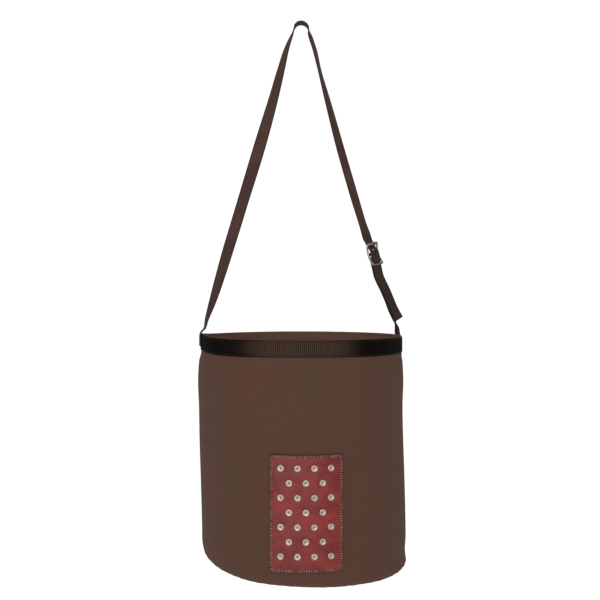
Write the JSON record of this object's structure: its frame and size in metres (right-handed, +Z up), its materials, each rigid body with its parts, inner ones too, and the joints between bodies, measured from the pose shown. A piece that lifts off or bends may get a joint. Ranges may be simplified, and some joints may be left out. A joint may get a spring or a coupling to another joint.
{
  "type": "feed bag",
  "caption": "Round canvas bag with a webbing-bound mouth, an adjustable buckled hanging strap and a leather vent patch set with eyelets.",
  "frame": {"origin": "underside of the hanging strap's crown, where the hook or peg that holds it bears", "axes": "+Z up along the hanging bag's axis, -Y out of the front with the vent patch, +X to the side with the buckle"},
  "size_m": [0.3086, 0.3079, 0.8015],
  "materials": {
    "canvas": "matt close-woven brown canvas",
    "band_webbing": "glossy ribbed dark brown nylon webbing",
    "strap_webbing": "satin brown nylon webbing",
    "patch_leather": "mottled oxblood leather",
    "dark_thread": "dark brown nylon thread",
    "canvas_thread": "brown nylon thread",
    "patch_thread": "brown nylon thread",
    "eyelet_metal": "bright pressed metal",
    "buckle_metal": "nickel-plated steel"
  },
  "bodies": {
    "strap": {"upper_strap": "strap_webbing", "lower_strap": "strap_webbing", "fold_thread": "dark_thread", "buckle_frame": "buckle_metal"},
    "bag": {"wall_canvas": "canvas", "bottom_canvas": "canvas", "rim_band": "band_webbing", "rim_threads": "dark_thread", "back_seam_threads": "canvas_thread", "bottom_seam_thread": "canvas_thread", "vent_patch": "patch_leather", "patch_thread": "patch_thread", "vent_eyelets": "eyelet_metal", "eyelet_washers": "eyelet_metal", "strap_end_left": "strap_webbing", "strap_end_right": "strap_webbing", "left_end_thread": "dark_thread", "right_end_thread": "dark_thread"},
    "roller": {"buckle_roller": "buckle_metal"},
    "tongue": {"buckle_tongue": "buckle_metal"}
  },
  "joints": [
    {"name": "bag_swing", "type": "hinge", "parent": "strap", "child": "bag", "pos_m": [0, 0, -0.476], "axis": [0.9799, 0.1994, 0], "range_deg": [-36, 36]},
    {"name": "roller_spin", "type": "hinge", "parent": "strap", "child": "roller", "pos_m": [0.10841, 0.02013, -0.33104], "axis": [0.714, 0.6732, 0.1925], "continuous": true},
    {"name": "tongue_pivot", "type": "hinge", "parent": "strap", "child": "tongue", "pos_m": [0.11034, 0.02245, -0.3463], "axis": [0.714, 0.6732, 0.1925], "range_deg": [0, 12]}
  ]
}
